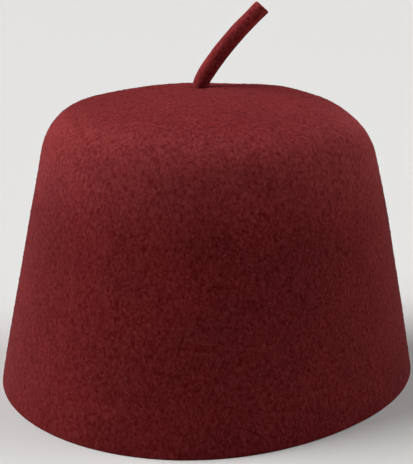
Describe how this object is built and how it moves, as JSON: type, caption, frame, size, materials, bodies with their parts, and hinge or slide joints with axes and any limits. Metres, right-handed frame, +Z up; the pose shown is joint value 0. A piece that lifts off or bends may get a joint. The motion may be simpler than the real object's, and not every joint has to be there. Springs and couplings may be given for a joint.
{
  "type": "fez",
  "caption": "Blocked wool-felt cap with a tapering oval wall, rounded shoulder and shallow domed crown, hollow and open below, with a short curved felt stalk on top.",
  "frame": {"origin": "centre of the rim's box, on the plane that the rim rests on", "axes": "+Z up through the crown; the oval rim's long way, front to back, along Y with the front at -Y; its short way along X"},
  "size_m": [0.1798, 0.1976, 0.1673],
  "materials": {
    "cap_felt": "matt maroon wool felt with a short matted nap",
    "stalk_felt": "matt maroon wool felt, rolled hard, with a cut end"
  },
  "bodies": {
    "root": {"felt_cap": "cap_felt", "stalk": "stalk_felt"}
  },
  "joints": []
}
